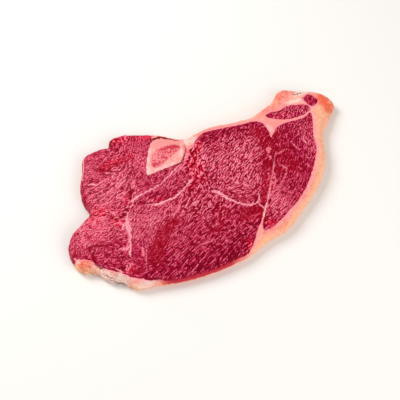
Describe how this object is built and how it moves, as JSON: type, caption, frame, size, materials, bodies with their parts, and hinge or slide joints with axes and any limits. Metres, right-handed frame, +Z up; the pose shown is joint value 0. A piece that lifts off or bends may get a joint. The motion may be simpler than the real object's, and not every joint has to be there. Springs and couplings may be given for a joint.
{
  "type": "raw beef rump steak",
  "caption": "A thick raw beef steak lying flat, with red muscles parted by seams, a ring of bone with marrow, and a pale rim of fat",
  "frame": {"origin": "under the middle of the steak's outline box, on the flat underside at z = 0", "axes": "+X runs along the length of the steak towards the fatty tip, +Y across it towards the bone, +Z up out of the cut face"},
  "size_m": [0.3466, 0.1978, 0.019],
  "materials": {
    "lean": "moist raw red meat with a fine cut grain",
    "fat": "soft waxy pink and cream fat",
    "bone": "sawn pale pink bone",
    "marrow": "porous pink marrow"
  },
  "bodies": {
    "root": {"lean_centre": "lean", "lean_left": "lean", "lean_corner": "lean", "lean_cap": "lean", "lean_strip": "lean", "lean_tip": "lean", "bone": "bone", "marrow": "marrow", "fat_rim": "fat"}
  },
  "joints": []
}
